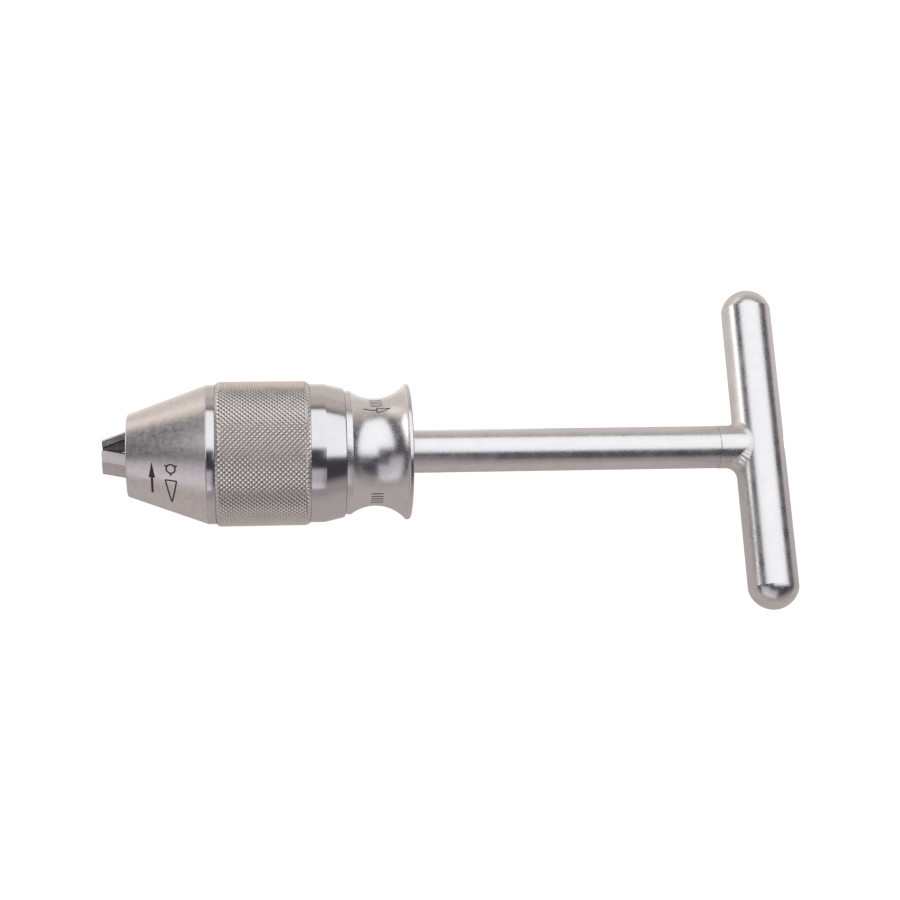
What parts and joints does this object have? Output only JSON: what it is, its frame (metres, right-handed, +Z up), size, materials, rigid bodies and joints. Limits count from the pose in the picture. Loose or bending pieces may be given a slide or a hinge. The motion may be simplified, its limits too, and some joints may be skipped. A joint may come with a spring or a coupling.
{
  "type": "hand drill",
  "caption": "T-handle hand drill with a keyless three-jaw chuck, knurled sleeve, spring-loaded pull-back release collar and a hollow shaft for a guide wire.",
  "frame": {"origin": "on the drill axis, in the plane of the nose's front rim, between the three jaws", "axes": "+X along the drill axis from the nose to the cross bar, +Y along the cross bar, +Z up"},
  "size_m": [0.1915, 0.0946, 0.04],
  "materials": {
    "blasted_steel": "bead blasted, matt grey stainless steel",
    "polished_steel": "polished stainless steel",
    "knurled_steel": "diamond knurled stainless steel",
    "machined_steel": "fine turned stainless steel",
    "hardened_steel": "ground hardened steel",
    "bearing_steel": "polished bearing steel",
    "spring_steel": "drawn spring steel",
    "weld_steel": "dressed weld bead",
    "cage_brass": "machined brass",
    "seal_rubber": "moulded rubber"
  },
  "bodies": {
    "handle_and_shaft": {"chuck_body": "machined_steel", "fixed_race": "hardened_steel", "hub_seal": "seal_rubber", "shaft_pins": "hardened_steel", "shaft_tube": "polished_steel", "spring_washer": "machined_steel", "spring_circlip": "spring_steel", "handle_stub": "polished_steel", "handle_weld": "weld_steel", "handle_bar": "polished_steel", "release_spring": "spring_steel"},
    "rotor": {"nose_cone": "blasted_steel", "jaw_guide": "machined_steel", "knurled_sleeve": "knurled_steel", "retaining_collar": "polished_steel", "rotating_race": "hardened_steel"},
    "bearing": {"ball_cage": "cage_brass", "bearing_balls": "bearing_steel"},
    "screw": {"jaw_screw": "machined_steel"},
    "jaw_1": {"jaw_1": "hardened_steel"},
    "jaw_2": {"jaw_2": "hardened_steel"},
    "jaw_3": {"jaw_3": "hardened_steel"},
    "collar": {"release_collar": "polished_steel", "lock_cone": "machined_steel", "key_ring": "machined_steel", "end_cap": "machined_steel"}
  },
  "joints": [
    {"name": "sleeve_turn", "type": "hinge", "parent": "handle_and_shaft", "child": "rotor", "pos_m": [0, 0, 0], "axis": [-1, 0, 0], "range_deg": [-228, 768]},
    {"name": "bearing_roll", "type": "hinge", "parent": "handle_and_shaft", "child": "bearing", "pos_m": [0.0405, 0, 0], "axis": [-1, 0, 0], "range_deg": [-114.1, 384.1]},
    {"name": "screw_advance", "type": "slide", "parent": "rotor", "child": "screw", "axis": [1, 0, 0], "range_m": [-0.00191, 0.00641]},
    {"name": "jaw_1_slide", "type": "slide", "parent": "rotor", "child": "jaw_1", "axis": [0.9397, 0.3243, 0.1085], "range_m": [-0.00203, 0.00682]},
    {"name": "jaw_2_slide", "type": "slide", "parent": "rotor", "child": "jaw_2", "axis": [0.9397, -0.2562, 0.2266], "range_m": [-0.00203, 0.00682]},
    {"name": "jaw_3_slide", "type": "slide", "parent": "rotor", "child": "jaw_3", "axis": [0.9397, -0.0682, -0.3352], "range_m": [-0.00203, 0.00682]},
    {"name": "collar_pull", "type": "slide", "parent": "handle_and_shaft", "child": "collar", "axis": [1, 0, 0], "range_m": [0, 0.003], "stiffness_N_per_m": 2500, "springref_m": -0.002, "deforming": ["release_spring"]}
  ],
  "couplings": [
    {"joint": "bearing_roll", "follows": "sleeve_turn", "ratio": 0.5},
    {"joint": "screw_advance", "follows": "sleeve_turn", "m_per_rad": 0.00047746},
    {"joint": "jaw_1_slide", "follows": "sleeve_turn", "m_per_rad": 0.00050811},
    {"joint": "jaw_2_slide", "follows": "sleeve_turn", "m_per_rad": 0.00050811},
    {"joint": "jaw_3_slide", "follows": "sleeve_turn", "m_per_rad": 0.00050811}
  ]
}
